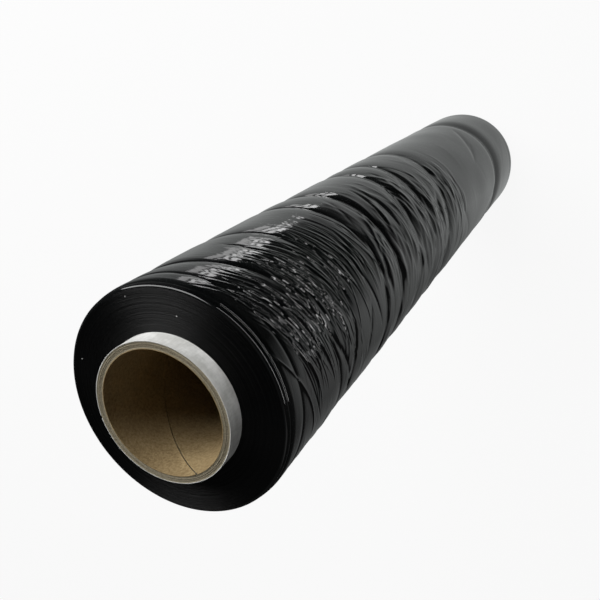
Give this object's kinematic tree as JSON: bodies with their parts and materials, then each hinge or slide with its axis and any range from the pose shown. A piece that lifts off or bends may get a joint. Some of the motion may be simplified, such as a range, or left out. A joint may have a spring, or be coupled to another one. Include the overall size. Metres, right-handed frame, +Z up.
{
  "type": "stretch wrap roll",
  "caption": "Hand roll of black stretch wrap: glossy creased cling film wound on a paperboard core whose ends stand proud of the film.",
  "frame": {"origin": "centre of the lower end of the core, on the surface that the roll stands on", "axes": "+Z up along the roll's axis; +X and +Y are square to it, and the roll is round about Z"},
  "size_m": [0.096, 0.096, 0.516],
  "materials": {
    "core_board": "uncoated brown board with a white outer ply",
    "black_film": "glossy black film with tension creases"
  },
  "bodies": {
    "root": {"core_tube": "core_board", "film_winding": "black_film"}
  },
  "joints": []
}
